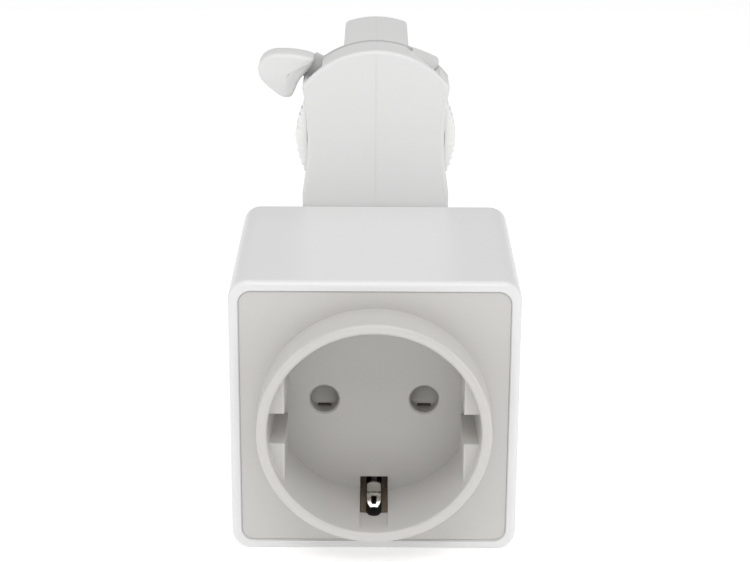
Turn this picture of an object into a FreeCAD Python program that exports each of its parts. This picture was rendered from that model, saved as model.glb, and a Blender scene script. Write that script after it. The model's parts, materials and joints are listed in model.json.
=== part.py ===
"""A square socket outlet box carried on a track adapter.

The outlet box faces -Y. The adapter stands behind it: its wide body lies against the back of the box
and its narrow insert reaches back into the track. A thumbwheel in the waist of the body picks the
circuit, and a winged lever on the same axis locks the adapter in the track. All sizes are millimetres.
"""

import FreeCAD, Part

import math
import os

import Sketcher

# ---------------------------------------------------------------- driving dimensions

SIZES = {
    # outlet box
    "box_side": 53.6,
    "box_depth": 48.0,
    "box_wall": 2.4,
    "box_corner": 3.6,
    "box_front_round": 1.2,
    "box_back_round": 0.9,
    # socket plate, collar and well
    "plate_side": 49.9,
    "plate_gap": 0.12,
    "plate_thick": 2.25,
    "plate_recess": 0.25,
    "plate_corner": 2.4,
    "plate_edge_round": 0.3,
    "collar_stand": 8.0,
    "collar_outer": 21.45,
    "collar_root": 21.75,
    "collar_inner": 19.55,
    "collar_round": 0.7,
    "well_floor": 19.05,
    "well_back": 20.8,
    "well_depth": 17.5,
    "floor_thick": 2.6,
    "pin_pitch": 19.0,
    "pin_hole": 2.75,
    "pin_lead": 0.3,
    "key_flat": 16.4,
    "key_gap": 5.8,
    "key_setback": 3.05,
    "key_round": 0.4,
    "key_half_height": 12.0,
    "earth_slot": 5.3,
    "earth_slot_inner": 16.0,
    "earth_slot_outer": 20.2,
    "earth_slot_run": 8.0,
    "earth_groove_run": 15.1,
    "earth_groove_radius": 19.95,
    "earth_notch": 1.25,
    "clip_width": 2.6,
    "earth_tab_half": 3.0,
    "earth_tab_deep": 5.0,
    "strap_width": 5.0,
    "strap_thick": 0.6,
    "hook_width": 6.0,
    "hook_thick": 1.2,
    "hook_barb": 0.8,
    "hook_place": 8.0,
    # contact base, contacts and shutter
    "base_half_width": 19.5,
    "base_half_height": 13.5,
    "base_depth": 16.8,
    "base_gap": 0.1,
    "tunnel_half": 3.3,
    "contact_half": 2.6,
    "leaf_thick": 0.7,
    "leaf_gap": 2.35,
    "terminal_depth": 7.2,
    "shutter_half_width": 12.9,
    "shutter_half_height": 3.3,
    "shutter_thick": 3.0,
    "shutter_play": 0.3,
    "spring_room": 9.2,
    "spring_radius": 1.1,
    "spring_wire": 0.25,
    "driver_way_half": 2.2,
    "pilot_depth": 6.2,
    # adapter body and insert
    "body_half": 14.9,
    "body_foot": 0.0,
    "foot_corner": 3.0,
    "waist_half": 13.8,
    "waist_radius": 56.3,
    "body_depth": 11.8,
    "body_wall": 1.7,
    "body_edge_round": 0.8,
    "shoulder_round": 0.9,
    "dome_radius": 18.5,
    "axis_height": 67.2,
    "flange_thick": 1.2,
    "insert_half": 6.65,
    "insert_depth": 24.2,
    "insert_wall": 1.6,
    "insert_foot": 3.0,
    "insert_round": 1.0,
    "seam_half": 0.03,
    "seam_depth": 0.05,
    # thumbwheel and its shaft
    "wheel_radius": 16.3,
    "wheel_thick": 4.4,
    "wheel_play": 0.3,
    "wheel_room": 16.65,
    "spindle": 2.0,
    "shaft_play": 0.08,
    "blade_reach": 8.2,
    "blade_half": 1.0,
    "blade_thick": 1.2,
    "blade_step": 3.4,
    "sleeve": 3.0,
    # lock lever and its shaft
    "slot_height": 1.5,
    "disc_thick": 1.1,
    "disc_radius": 11.7,
    "wing_thick": 7.1,
    "wing_inner": 19.1,
    "wing_round": 1.2,
    "lock_shaft": 3.9,
    "tongue_reach": 9.4,
    "tongue_half": 2.3,
    "tongue_thick": 2.0,
    "lug_reach": 19.4,
    "notch_depth": 1.1,
    # fasteners and wiring
    "nipple": 5.0,
    "nipple_bore": 4.0,
    "nut_flats": 14.0,
    "nut_thick": 3.0,
    "washer_thick": 0.8,
    "washer_radius": 8.5,
    "hole_play": 0.1,
    "screw": 1.5,
    "screw_head": 2.8,
    "screw_head_thick": 1.8,
    "post": 3.2,
    "screw_place": 16.3,
    "wire": 1.0,
    "wire_ring": 1.9,
    "terminal_screw": 1.25,
    "clamp_length": 4.2,
    "clamp_head": 1.6,
    "driver_slot_half": 0.35,
    "driver_slot_deep": 0.8,
    "base_screw_grip": 3.5,
    "pillar": 3.4,
    "window_play": 0.3,
    "earth_bar_half": 2.8,
    "phase_window": 7.4,
    "neutral_window_top": 1.8,
    "dome_border": 1.2,
}

LOCK_TURN = 57.0
CIRCUIT_STEP = 45.0
NECK_ANGLES = (126.0, 143.0)
LUG_ANGLES = (47.0, 66.0)
LUG_POCKET_ANGLES = (46.0, 71.0)
LEFT_NOTCH_ANGLES = (126.0, 140.0)
SLOT_ANGLES = (20.0, 160.0)
FLUTES = 36

DOC = FreeCAD.newDocument("track_socket")
SHEET = DOC.addObject("Spreadsheet::Sheet", "Sizes")
PARTS = {}


class Size:
    """A length that carries its number and its formula in the sheet."""

    def __init__(self, number, text=None):
        self.number = float(number)
        self.text = text or repr(float(number))

    def __add__(self, other):
        other = as_size(other)
        return Size(self.number + other.number, f"({self.text} + {other.text})")

    def __sub__(self, other):
        other = as_size(other)
        return Size(self.number - other.number, f"({self.text} - {other.text})")

    def __mul__(self, factor):
        factor = as_size(factor)
        return Size(self.number * factor.number, f"({self.text} * {factor.text})")

    def __truediv__(self, divisor):
        divisor = as_size(divisor)
        return Size(self.number / divisor.number, f"({self.text} / {divisor.text})")

    def __neg__(self):
        return Size(-self.number, f"(0 - {self.text})")

    def __radd__(self, other):
        return as_size(other) + self

    def __rsub__(self, other):
        return as_size(other) - self

    def __float__(self):
        return self.number


def as_size(item):
    return item if isinstance(item, Size) else Size(item)


class Sheet:
    """The driving dimensions, each as a Size under its own name."""

    def __init__(self):
        for row, (alias, number) in enumerate(SIZES.items(), start=1):
            SHEET.set(f"A{row}", alias)
            SHEET.set(f"B{row}", str(number))
            SHEET.setAlias(f"B{row}", alias)
            setattr(self, alias, Size(number, f"Sizes.{alias}"))
        DOC.recompute()


s = Sheet()

# ---------------------------------------------------------------- places along Y and Z

RIM = -(s.collar_stand + s.box_depth + s.body_depth + s.insert_depth) / 2
FRONT = RIM + s.collar_stand
BACK = FRONT + s.box_depth
PLATE_FACE = FRONT + s.plate_recess
PLATE_REAR = PLATE_FACE + s.plate_thick
FLOOR = RIM + s.well_depth
FLOOR_REAR = FLOOR + s.floor_thick
BASE_FRONT = FLOOR_REAR + s.base_gap
BASE_REAR = BASE_FRONT + s.base_depth
BACK_INNER = BACK - s.box_wall
BODY_REAR = BACK + s.body_depth
INSERT_REAR = BODY_REAR + s.insert_depth
SLOT_REAR = BODY_REAR - s.flange_thick
SLOT_FRONT = SLOT_REAR - s.slot_height
WHEEL_LOW = BACK + s.body_wall + s.wheel_play * 3
WHEEL_HIGH = WHEEL_LOW + s.wheel_thick
DISC_LOW = SLOT_FRONT + (s.slot_height - s.disc_thick) / 2
DISC_HIGH = DISC_LOW + s.disc_thick
TONGUE_LOW = BODY_REAR + 1.5
NEUTRAL_LOW = TONGUE_LOW + s.tongue_thick + 2.6
RIB_FRONT = BODY_REAR + 9.0
RIB_REAR = RIB_FRONT + 1.2
PHASE_LOW = RIB_REAR + 1.0
MID = s.box_side / 2
AXIS = s.axis_height
TERMINAL_REAR = BASE_REAR - 1.0
TERMINAL_FRONT = TERMINAL_REAR - s.terminal_depth
SHUTTER_FRONT = BASE_FRONT + s.shutter_play / 2
SHUTTER_REAR = SHUTTER_FRONT + s.shutter_thick
POCKET_REAR = SHUTTER_REAR + s.shutter_play / 2

# ---------------------------------------------------------------- building blocks


def bind(item, **sizes):
    """Ties properties of an object to the sheet."""
    for name, size in sizes.items():
        item.setExpression(name, as_size(size).text)
    return item


def place(item, x=0, y=0, z=0, rotation=None):
    """Ties an object's position to the sheet, after an optional rotation."""
    if rotation:
        item.Placement = FreeCAD.Placement(FreeCAD.Vector(), rotation)
    for axis, size in (("x", x), ("y", y), ("z", z)):
        item.setExpression(f"Placement.Base.{axis}", as_size(size).text)
    return item


def turned(axis, degrees):
    return FreeCAD.Rotation(FreeCAD.Vector(*axis), degrees)


def brick(name, x, y, z):
    """A box between two sizes on each axis."""
    item = DOC.addObject("Part::Box", name)
    bind(item, Length=x[1] - as_size(x[0]), Width=y[1] - as_size(y[0]), Height=z[1] - as_size(z[0]))
    return place(item, x[0], y[0], z[0])


def lie_along_y():
    """Turns an object's own Z to +Y and its own X to +X."""
    return turned((1, 0, 0), -90)


def rod(name, radius, y, x=0, z=MID):
    """A cylinder along Y from y[0] to y[1]."""
    item = DOC.addObject("Part::Cylinder", name)
    bind(item, Radius=radius, Height=y[1] - as_size(y[0]))
    return place(item, x, y[0], z, lie_along_y())


def peg(name, radius, x, y, z):
    """A cylinder along X from x[0] to x[1]."""
    item = DOC.addObject("Part::Cylinder", name)
    bind(item, Radius=radius, Height=x[1] - as_size(x[0]))
    return place(item, x[0], y, z, turned((0, 1, 0), 90))


def column(name, radius, x, y, z):
    """A cylinder along Z from z[0] to z[1]."""
    item = DOC.addObject("Part::Cylinder", name)
    bind(item, Radius=radius, Height=z[1] - as_size(z[0]))
    return place(item, x, y, z[0])


def taper(name, radii, y, x=0, z=MID):
    """A cone along Y, of radii[0] at y[0] and radii[1] at y[1]."""
    item = DOC.addObject("Part::Cone", name)
    bind(item, Radius1=radii[0], Radius2=radii[1], Height=y[1] - as_size(y[0]))
    return place(item, x, y[0], z, lie_along_y())


def sector(name, angles, radius, y):
    """A slice of a disc about the wheel's axis. Angles run from +X towards +Z, in degrees."""
    item = DOC.addObject("Part::Cylinder", name)
    bind(item, Radius=radius, Height=y[1] - as_size(y[0]))
    item.Angle = angles[1] - angles[0]
    spin = turned((0, 1, 0), -angles[1]).multiply(lie_along_y())
    return place(item, 0, y[0], AXIS, spin)


def plus(name, *items):
    item = DOC.addObject("Part::MultiFuse", name)
    item.Shapes = list(items)
    item.Refine = True
    return item


def common(name, *items):
    item = DOC.addObject("Part::MultiCommon", name)
    item.Shapes = list(items)
    return item


def minus(name, base, *tools):
    item = DOC.addObject("Part::Cut", name)
    item.Base = base
    item.Tool = tools[0] if len(tools) == 1 else plus(name + "_tools", *tools)
    return item


def chosen_edges(base, wanted):
    """The numbers of the edges for which wanted(middle point, bounding box) holds."""
    DOC.recompute()
    numbers = []
    for number, edge in enumerate(base.Shape.Edges, start=1):
        middle = edge.valueAt((edge.FirstParameter + edge.LastParameter) / 2)
        if wanted(middle, edge.BoundBox):
            numbers.append(number)
    return numbers


def rounded(name, base, radius, wanted):
    """Rounds the chosen edges of a Part object."""
    size = float(radius)
    edges = [(number, size, size) for number in chosen_edges(base, wanted)]
    item = DOC.addObject("Part::Fillet", name)
    item.Base = base
    item.Edges = edges
    return item


def hand_made(name, shape):
    """A shape worked out in code from the sheet's numbers."""
    item = DOC.addObject("Part::Feature", name)
    item.Shape = shape
    return item


def keep(node, item):
    """item is a finished sub-part, and node names it."""
    item.Label = node
    PARTS[node] = item
    return item


def on_plane(box, axis, at, slack=0.01):
    """Whether a bounding box lies in the plane where axis equals at."""
    low, high = getattr(box, axis + "Min"), getattr(box, axis + "Max")
    return abs(low - float(at)) < slack and abs(high - float(at)) < slack


def along(box, axis, least=1.0, slack=0.01):
    """Whether a bounding box is a line along one axis."""
    spans = {"X": box.XLength, "Y": box.YLength, "Z": box.ZLength}
    return spans.pop(axis) > least and max(spans.values()) < slack


# ---------------------------------------------------------------- PartDesign blocks


def body(name):
    return DOC.addObject("PartDesign::Body", name)


def sketch(owner, name, plane, offset=0, shift=0):
    """A sketch on an origin plane of its body, moved along the plane's normal and its second axis.

    The normal of XZ is -Y, so a sketch at a place y on XZ has the offset -y.
    """
    item = owner.newObject("Sketcher::SketchObject", name)
    item.AttachmentSupport = [(f, "") for f in owner.Origin.OriginFeatures if f.Role == plane + "_Plane"]
    item.MapMode = "FlatFace"
    item.setExpression("AttachmentOffset.Base.z", as_size(offset).text)
    item.setExpression("AttachmentOffset.Base.y", as_size(shift).text)
    return item


def pin_point(profile, geometry, point, place_u, place_v):
    """Ties one point of a sketch to two sizes."""
    for kind, axis, size in (("DistanceX", -2, place_u), ("DistanceY", -1, place_v)):
        size = as_size(size)
        if abs(size.number) < 1e-9:
            profile.addConstraint(Sketcher.Constraint("PointOnObject", geometry, point, axis))
            continue
        at = profile.addConstraint(Sketcher.Constraint(kind, -1, 1, geometry, point, size.number))
        profile.setExpression(f"Constraints[{at}]", size.text)


def polygon(profile, *corners):
    """A closed outline of straight lines whose corners are tied to the sheet."""
    points = [FreeCAD.Vector(float(u), float(v), 0) for u, v in corners]
    first = profile.GeometryCount
    count = len(points)
    for i in range(count):
        profile.addGeometry(Part.LineSegment(points[i], points[(i + 1) % count]), False)
    for i in range(count):
        profile.addConstraint(Sketcher.Constraint("Coincident", first + i, 2, first + (i + 1) % count, 1))
    for i, (u, v) in enumerate(corners):
        pin_point(profile, first + i, 1, u, v)
    return profile


def rectangle(profile, u, v):
    return polygon(profile, (u[0], v[0]), (u[1], v[0]), (u[1], v[1]), (u[0], v[1]))


def circle(profile, radius, u=0, v=0):
    middle = FreeCAD.Vector(float(u), float(v), 0)
    at = profile.addGeometry(Part.Circle(middle, FreeCAD.Vector(0, 0, 1), float(radius)), False)
    tie = profile.addConstraint(Sketcher.Constraint("Radius", at, float(radius)))
    profile.setExpression(f"Constraints[{tie}]", as_size(radius).text)
    pin_point(profile, at, 3, u, v)
    return profile


def pad(owner, name, profile, length, back=False):
    """Material from a profile along its normal, or against it with back."""
    item = owner.newObject("PartDesign::Pad", name)
    item.Profile = profile
    item.Reversed = back
    return bind(item, Length=length)


def pocket(owner, name, profile, length):
    """A cut from a profile against its normal."""
    item = owner.newObject("PartDesign::Pocket", name)
    item.Profile = profile
    return bind(item, Length=length)


def soften(owner, name, base, radius, wanted):
    """A PartDesign fillet on the chosen edges."""
    edges = [f"Edge{number}" for number in chosen_edges(base, wanted)]
    item = owner.newObject("PartDesign::Fillet", name)
    item.Base = (base, edges)
    return bind(item, Radius=radius)


# ---------------------------------------------------------------- outlet box


def make_box_housing():
    """A square tub, open towards -Y, with a rebate for the plate and two posts for the contact base."""
    half = s.box_side / 2
    inner = half - s.box_wall
    seat = s.plate_side / 2 + s.plate_gap
    tub = body("housing_body")
    outer = rectangle(sketch(tub, "housing_outline", "XZ", -BACK), (-half, half), (0, s.box_side))
    block = pad(tub, "housing_block", outer, s.box_depth)
    soften(tub, "housing_corners", block, s.box_corner, lambda m, b: along(b, "Y"))
    hollow = rectangle(
        sketch(tub, "housing_hollow", "XZ", -FRONT),
        (-inner, inner),
        (MID - inner, MID + inner),
    )
    room = pocket(tub, "housing_room", hollow, s.box_depth - s.box_wall)
    soften(
        tub,
        "housing_room_corners",
        room,
        s.plate_corner,
        lambda m, b: along(b, "Y") and abs(abs(m.x) - float(inner)) < 0.01,
    )
    rebate = rectangle(sketch(tub, "housing_rebate", "XZ", -FRONT), (-seat, seat), (MID - seat, MID + seat))
    ledge = pocket(tub, "housing_ledge", rebate, s.plate_recess + s.plate_thick)
    ledge_corners = soften(
        tub,
        "housing_ledge_corners",
        ledge,
        s.plate_corner + s.plate_gap,
        lambda m, b: along(b, "Y") and abs(abs(m.x) - float(seat)) < 0.01,
    )
    outside = float(seat) + 0.3
    front_edge = soften(
        tub,
        "housing_front_edge",
        ledge_corners,
        s.box_front_round,
        lambda m, b: on_plane(b, "Y", FRONT) and max(abs(m.x), abs(m.z - float(MID))) > outside,
    )
    soften(tub, "housing_back_edge", front_edge, s.box_back_round, lambda m, b: on_plane(b, "Y", BACK))
    cable = circle(sketch(tub, "housing_cable", "XZ", -BACK_INNER), s.nipple + s.hole_play, 0, MID)
    pocket(tub, "housing_cable_hole", cable, s.box_wall)
    posts = sketch(tub, "housing_posts", "XZ", -BACK_INNER)
    for side in (-1, 1):
        circle(posts, s.post, s.screw_place * side, MID)
    pad(tub, "housing_post_pair", posts, BACK_INNER - BASE_REAR)
    pilots = sketch(tub, "housing_pilots", "XZ", -BASE_REAR)
    for side in (-1, 1):
        circle(pilots, s.screw, s.screw_place * side, MID)
    pocket(tub, "housing_pilot_pair", pilots, s.pilot_depth)
    keep("box_housing", tub)


def key_blocks():
    """Four blocks on the well's wall whose flat faces guide the plug's sides."""
    reach = s.well_back
    low = RIM + s.key_setback
    blocks = []
    for side in (-1, 1):
        x = (s.key_flat, reach) if side > 0 else (-reach, -s.key_flat)
        side_name = "right" if side > 0 else "left"
        bar = brick(f"key_{side_name}", x, (low, FLOOR), (MID - s.key_half_height, MID + s.key_half_height))
        gap = brick(
            f"key_gap_{side_name}", x, (low, FLOOR), (MID - s.key_gap / 2, MID + s.key_gap / 2)
        )
        blocks.append(minus(f"key_pair_{side_name}", bar, gap))
    within = taper("key_limit", (s.collar_inner + 0.5, s.well_floor + 0.5), (RIM, FLOOR))
    raw = common("key_round", plus("keys", *blocks), within)
    return rounded("key_soft", raw, s.key_round, lambda m, b: on_plane(b, "Y", low))


def earth_slots():
    """The openings for the two earth clips, above and below the pins."""
    cutters = []
    half = s.earth_slot / 2
    for side in (-1, 1):
        name = "upper" if side > 0 else "lower"
        low, high = sorted((s.earth_slot_inner * side, s.earth_slot_outer * side), key=float)
        z = (MID + low, MID + high)
        cutters.append(brick(f"slot_{name}", (-half, half), (FLOOR - s.earth_slot_run, FLOOR_REAR + 1), z))
        cutters.append(
            column(f"slot_notch_{name}", s.earth_notch, 0, FLOOR - s.earth_slot_run, z)
        )
    groove = rod("groove_ring", s.earth_groove_radius, (FLOOR - s.earth_groove_run, FLOOR))
    strip = brick("groove_strip", (-half, half), (FLOOR - s.earth_groove_run, FLOOR), (MID - 21, MID + 21))
    cutters.append(common("groove", groove, strip))
    return cutters


def make_front_plate():
    """The square plate with its raised collar, the round well and the pin holes."""
    half = s.plate_side / 2
    raw = brick("plate_block", (-half, half), (PLATE_FACE, PLATE_REAR), (MID - half, MID + half))
    corners = rounded("plate_corners", raw, s.plate_corner, lambda m, b: along(b, "Y"))
    plate = rounded("plate_edge", corners, s.plate_edge_round, lambda m, b: on_plane(b, "Y", PLATE_FACE))
    collar_raw = taper("collar_cone", (s.collar_outer, s.collar_root), (RIM, PLATE_REAR))
    well_raw = taper("well_cone", (s.collar_inner, s.well_floor), (RIM, FLOOR))
    tube = rod("well_tube", s.well_back, (PLATE_FACE, FLOOR_REAR))
    solid = plus("plate_solid", plate, collar_raw, tube)
    hollowed = minus("plate_hollowed", solid, well_raw)
    rim = rounded("plate_rim", hollowed, s.collar_round, lambda m, b: on_plane(b, "Y", RIM))
    keyed = plus("plate_keyed", rim, key_blocks())
    cutters = earth_slots()
    for side in (-1, 1):
        name = "right" if side > 0 else "left"
        x = s.pin_pitch / 2 * side
        cutters.append(rod(f"pin_{name}", s.pin_hole, (FLOOR, FLOOR_REAR), x))
        mouth = (s.pin_hole + s.pin_lead, s.pin_hole)
        cutters.append(taper(f"pin_lead_{name}", mouth, (FLOOR, FLOOR + s.pin_lead), x))
    pierced = minus("plate_pierced", keyed, *cutters)
    keep("front_plate", plus("plate_with_hooks", pierced, *plate_hooks()))


def plate_hooks():
    """Snap hooks behind the plate, two on each side, which grip the back edge of the contact base."""
    hooks = []
    inner = s.base_half_width + 0.2
    outer = inner + s.hook_thick
    half = s.hook_width / 2
    for side in (-1, 1):
        for level in (-1, 1):
            name = f"{'right' if side > 0 else 'left'}_{'upper' if level > 0 else 'lower'}"
            leg_x = sorted((inner * side, outer * side), key=float)
            barb_x = sorted(((inner - s.hook_barb) * side, outer * side), key=float)
            middle = MID + s.hook_place * level
            z = (middle - half, middle + half)
            leg = brick(f"hook_{name}", leg_x, (FLOOR + 1, BASE_REAR + 1.6), z)
            barb = brick(f"barb_{name}", barb_x, (BASE_REAR + 0.1, BASE_REAR + 1.6), z)
            hooks.append(plus(f"hook_{name}_whole", leg, barb))
    return hooks


def make_contact_base():
    """The insulating block behind the well, with a tunnel for each contact and a bed for the shutter."""
    width, height = s.base_half_width, s.base_half_height
    block = brick("base_block", (-width, width), (BASE_FRONT, BASE_REAR), (MID - height, MID + height))
    edges = rounded("base_edges", block, 1.5, lambda m, b: along(b, "Y"))
    cutters = []
    for side in (-1, 1):
        name = "right" if side > 0 else "left"
        x = s.pin_pitch / 2 * side
        tunnel = s.tunnel_half
        cutters.append(
            brick(
                f"tunnel_{name}",
                (x - tunnel, x + tunnel),
                (BASE_FRONT, BASE_REAR),
                (MID - tunnel, MID + tunnel),
            )
        )
        cutters.append(
            brick(
                f"driver_way_{name}",
                (x - s.driver_way_half, x + s.driver_way_half),
                (TERMINAL_FRONT, BASE_REAR),
                (MID + tunnel - 0.1, MID + height),
            )
        )
        hole = s.screw_place * side
        cutters.append(rod(f"base_hole_{name}", s.screw + s.hole_play, (BASE_FRONT, BASE_REAR), hole))
        sink_y = (BASE_FRONT, BASE_FRONT + s.screw_head_thick + 0.3)
        cutters.append(rod(f"base_sink_{name}", s.screw_head + 0.2, sink_y, hole))
    bed_half = s.shutter_half_width + s.shutter_play
    floor = MID - s.shutter_half_height - s.spring_room
    ceiling = MID + s.shutter_half_height + s.shutter_play
    cutters.append(brick("shutter_bed", (-bed_half, bed_half), (BASE_FRONT, POCKET_REAR), (floor, ceiling)))
    keep("contact_base", minus("base_cut", edges, *cutters))


def make_contacts():
    """Each line contact: a terminal block with two leaves that grip the plug's pin."""
    half = s.contact_half
    top = s.leaf_gap + s.leaf_thick
    for side in (-1, 1):
        name = "right" if side > 0 else "left"
        x = s.pin_pitch / 2 * side
        span = (x - half, x + half)
        block = brick(f"terminal_{name}", span, (TERMINAL_FRONT, TERMINAL_REAR), (MID - top, MID + top))
        leaves = [
            brick(
                f"leaf_{name}_{label}",
                span,
                (POCKET_REAR + 0.3, TERMINAL_FRONT),
                z,
            )
            for label, z in (("low", (MID - top, MID - s.leaf_gap)), ("high", (MID + s.leaf_gap, MID + top)))
        ]
        bore = rod(f"wire_bore_{name}", s.wire + 0.05, (TERMINAL_REAR - 5, TERMINAL_REAR), x)
        thread = column(
            f"terminal_thread_{name}", s.terminal_screw, x, TERMINAL_REAR - 3, (MID + s.wire, MID + top)
        )
        raw = plus(f"contact_{name}_raw", block, *leaves)
        keep(f"contact_{name}", minus(f"contact_{name}_cut", raw, bore, thread))


def strip(name, path, thickness, width):
    """A flat strip bent along a path of (y, z) points, centred on x = 0."""
    points = [FreeCAD.Vector(0, float(y), float(z)) for y, z in path]
    legs = [(b - a).normalize() for a, b in zip(points, points[1:])]
    normals = [FreeCAD.Vector(0, -leg.z, leg.y) for leg in legs]
    sides = []
    for i, point in enumerate(points):
        before = normals[max(i - 1, 0)]
        after = normals[min(i, len(normals) - 1)]
        mitre = (before + after).normalize()
        reach = float(thickness) / 2 / mitre.dot(after)
        sides.append((point + mitre * reach, point - mitre * reach))
    corners = [pair[0] for pair in sides] + [pair[1] for pair in reversed(sides)]
    face = Part.Face(Part.makePolygon(corners + corners[:1]))
    moved = face.translated(FreeCAD.Vector(-float(width) / 2, 0, 0))
    return hand_made(name, moved.extrude(FreeCAD.Vector(float(width), 0, 0)))


def make_earth_bracket():
    """The strap behind the base and its two sprung clips, which rise from the slots in the well."""
    arm = s.base_half_height + 0.7
    turn = FLOOR_REAR + 1.6
    pieces = []
    for side in (-1, 1):
        name = "upper" if side > 0 else "lower"
        strap_path = [(BASE_REAR + 0.4, MID), (BASE_REAR + 0.4, MID + arm * side), (turn, MID + arm * side)]
        clip_path = [
            (turn + 0.3, MID + arm * side),
            (turn, MID + arm * side),
            (FLOOR_REAR + 1.1, MID + 16.2 * side),
            (FLOOR_REAR, MID + 16.9 * side),
            (FLOOR, MID + 17.1 * side),
            (FLOOR - 4.8, MID + 17.05 * side),
            (FLOOR - 6.5, MID + 16.8 * side),
            (FLOOR - 7.8, MID + 17.3 * side),
            (FLOOR - 9.5, MID + 18.5 * side),
        ]
        pieces.append(strip(f"strap_{name}", strap_path, s.strap_thick, s.strap_width))
        clip = strip(f"clip_{name}", clip_path, s.strap_thick, s.clip_width)
        opening = brick(
            f"clip_opening_{name}",
            (-0.4, 0.4),
            (FLOOR - 8.9, FLOOR - 6.8),
            (MID - 20, MID + 20),
        )
        pieces.append(minus(f"clip_{name}_cut", clip, opening))
    tab_half = s.earth_tab_half
    tab_y = (BASE_REAR + 0.1, BASE_REAR + 0.1 + s.earth_tab_deep)
    tab = brick("earth_tab", (-tab_half, tab_half), tab_y, (MID - tab_half * 3, MID - tab_half))
    bore = rod("earth_wire_bore", s.wire + 0.05, (BASE_REAR + 1.5, tab_y[1]), 0, MID - 7)
    thread = column("earth_thread", s.terminal_screw, 0, BASE_REAR + 3.2, (MID - 6, MID - tab_half))
    keep("earth_bracket", minus("earth_cut", plus("earth_raw", *pieces, tab), bore, thread))


def make_shutter():
    """The slide behind the pin holes. The plug's pins push its sloping faces and drive it down."""
    half = s.shutter_half_height
    slide = body("shutter_body")
    profile = polygon(
        sketch(slide, "shutter_side", "YZ", -s.shutter_half_width, MID),
        (SHUTTER_FRONT, -half),
        (SHUTTER_FRONT, -1.2),
        (SHUTTER_REAR - 0.9, half),
        (SHUTTER_REAR, half),
        (SHUTTER_REAR, -half),
    )
    pad(slide, "shutter_bar", profile, s.shutter_half_width * 2)
    slits = sketch(slide, "shutter_slits", "XZ", -SHUTTER_FRONT)
    for side in (-1, 1):
        x = s.pin_pitch / 2 * side
        rectangle(slits, (x - 1.3, x + 1.3), (MID - 2.6, MID - 1.9))
    pocket(slide, "shutter_slit_pair", slits, s.shutter_thick)
    keep("shutter", slide)


def make_shutter_spring():
    """The coil spring that returns the shutter."""
    foot = MID - s.shutter_half_height - s.spring_room
    wire = float(s.spring_wire)
    turns = 5
    rise = float(s.spring_room) - 2 * wire
    helix = Part.makeHelix(rise / turns, rise, float(s.spring_radius))
    start = FreeCAD.Vector(float(s.spring_radius), 0, 0)
    section = Part.Wire(Part.makeCircle(wire, start, FreeCAD.Vector(0, 1, 0)))
    coil = Part.Wire(helix).makePipeShell([section], True, True)
    item = hand_made("spring_coil", coil)
    place(item, 0, (SHUTTER_FRONT + SHUTTER_REAR) / 2, foot + s.spring_wire)
    keep("shutter_spring", item)


# ---------------------------------------------------------------- fasteners of the box


def screw_along_y(name, x, z, head_y, length, radius, head, head_thick):
    """A slotted pan-head screw whose head faces -Y."""
    crown = rod(f"{name}_head", head, (head_y, head_y + head_thick), x, z)
    shank = rod(f"{name}_shank", radius, (head_y + head_thick, head_y + head_thick + length), x, z)
    slit = s.driver_slot_half
    slot_y = (head_y, head_y + s.driver_slot_deep)
    slot = brick(f"{name}_slot", (x - head, x + head), slot_y, (z - slit, z + slit))
    return minus(f"{name}_whole", plus(f"{name}_raw", crown, shank), slot)


def make_base_screws():
    screws = []
    for side in (-1, 1):
        name = "right" if side > 0 else "left"
        head_y = BASE_FRONT + 0.3
        screws.append(
            screw_along_y(
                f"base_screw_{name}",
                s.screw_place * side,
                MID,
                head_y,
                s.base_depth + s.base_screw_grip,
                s.screw,
                s.screw_head,
                s.screw_head_thick,
            )
        )
    keep("base_screws", plus("base_screw_group", *screws))


def make_terminal_screws():
    """The three screws that clamp the wires, their heads towards +Z."""
    spots = [
        ("left", -s.pin_pitch / 2, TERMINAL_REAR - 3, MID + s.wire + 0.1),
        ("right", s.pin_pitch / 2, TERMINAL_REAR - 3, MID + s.wire + 0.1),
        ("earth", Size(0), BASE_REAR + 3.2, MID - 5.9),
    ]
    slit = s.driver_slot_half
    screws = []
    for name, x, y, foot in spots:
        neck = foot + s.clamp_length
        top = neck + s.clamp_head
        shank = column(f"clamp_{name}", s.terminal_screw, x, y, (foot, neck))
        head = column(f"clamp_head_{name}", s.terminal_screw + 0.6, x, y, (neck, top))
        slot_z = (top - s.driver_slot_deep, top)
        slot = brick(f"clamp_slot_{name}", (x - 2, x + 2), (y - slit, y + slit), slot_z)
        screws.append(minus(f"clamp_{name}_whole", plus(f"clamp_{name}_raw", shank, head), slot))
    keep("terminal_screws", plus("terminal_screw_group", *screws))


def make_nipple():
    """The threaded tube that ties the box to the adapter and leads the wires through."""
    low = BACK_INNER - s.washer_thick - s.nut_thick - 1
    high = BACK + s.body_wall + s.nut_thick + 1
    tube = rod("nipple_rod", s.nipple, (low, high))
    bore = rod("nipple_hole", s.nipple_bore, (low, high))
    keep("nipple", minus("nipple_tube", tube, bore))


def make_nuts():
    """The hexagon nuts at the two ends of the nipple."""
    spots = {
        "box": BACK_INNER - s.washer_thick - s.nut_thick,
        "adapter": BACK + s.body_wall,
    }
    nuts = []
    for name, y in spots.items():
        hexagon = DOC.addObject("Part::Prism", f"nut_{name}")
        hexagon.Polygon = 6
        bind(hexagon, Circumradius=s.nut_flats / math.sqrt(3), Height=s.nut_thick)
        place(hexagon, 0, y, MID, lie_along_y())
        bore = rod(f"nut_{name}_bore", s.nipple, (y, y + s.nut_thick))
        nuts.append(minus(f"nut_{name}_whole", hexagon, bore))
    keep("nipple_nuts", plus("nut_group", *nuts))


def make_washer():
    y = (BACK_INNER - s.washer_thick, BACK_INNER)
    disc = rod("washer_disc", s.washer_radius, y)
    keep("nipple_washer", minus("washer_ring", disc, rod("washer_bore", s.nipple + s.hole_play, y)))


# ---------------------------------------------------------------- adapter


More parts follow.
